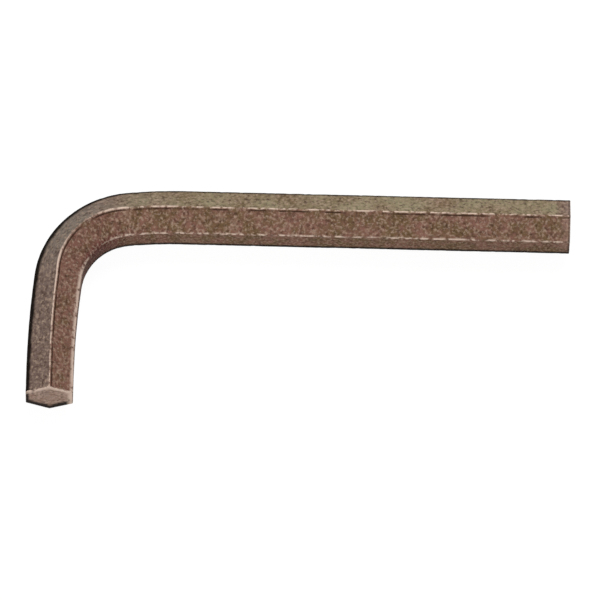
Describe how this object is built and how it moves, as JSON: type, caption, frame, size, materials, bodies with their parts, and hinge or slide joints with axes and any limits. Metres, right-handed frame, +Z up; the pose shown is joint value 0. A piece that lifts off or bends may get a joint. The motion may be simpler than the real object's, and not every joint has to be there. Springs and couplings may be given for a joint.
{
  "type": "hex key",
  "caption": "L-shaped hexagonal steel key with a long arm, a short arm and a smooth right-angle bend, lying flat.",
  "frame": {"origin": "on the surface that the key lies on, under the middle of its overall outline", "axes": "+X along the long arm towards its tip, the short arm points to -Y, +Z up from the surface the key lies on"},
  "size_m": [0.137, 0.057, 0.0137],
  "materials": {
    "oxide_steel": "matte brown oxide on hardened tool steel, with a fine mottled grain and lighter worn edges"
  },
  "bodies": {
    "root": {"hex_key": "oxide_steel"}
  },
  "joints": []
}
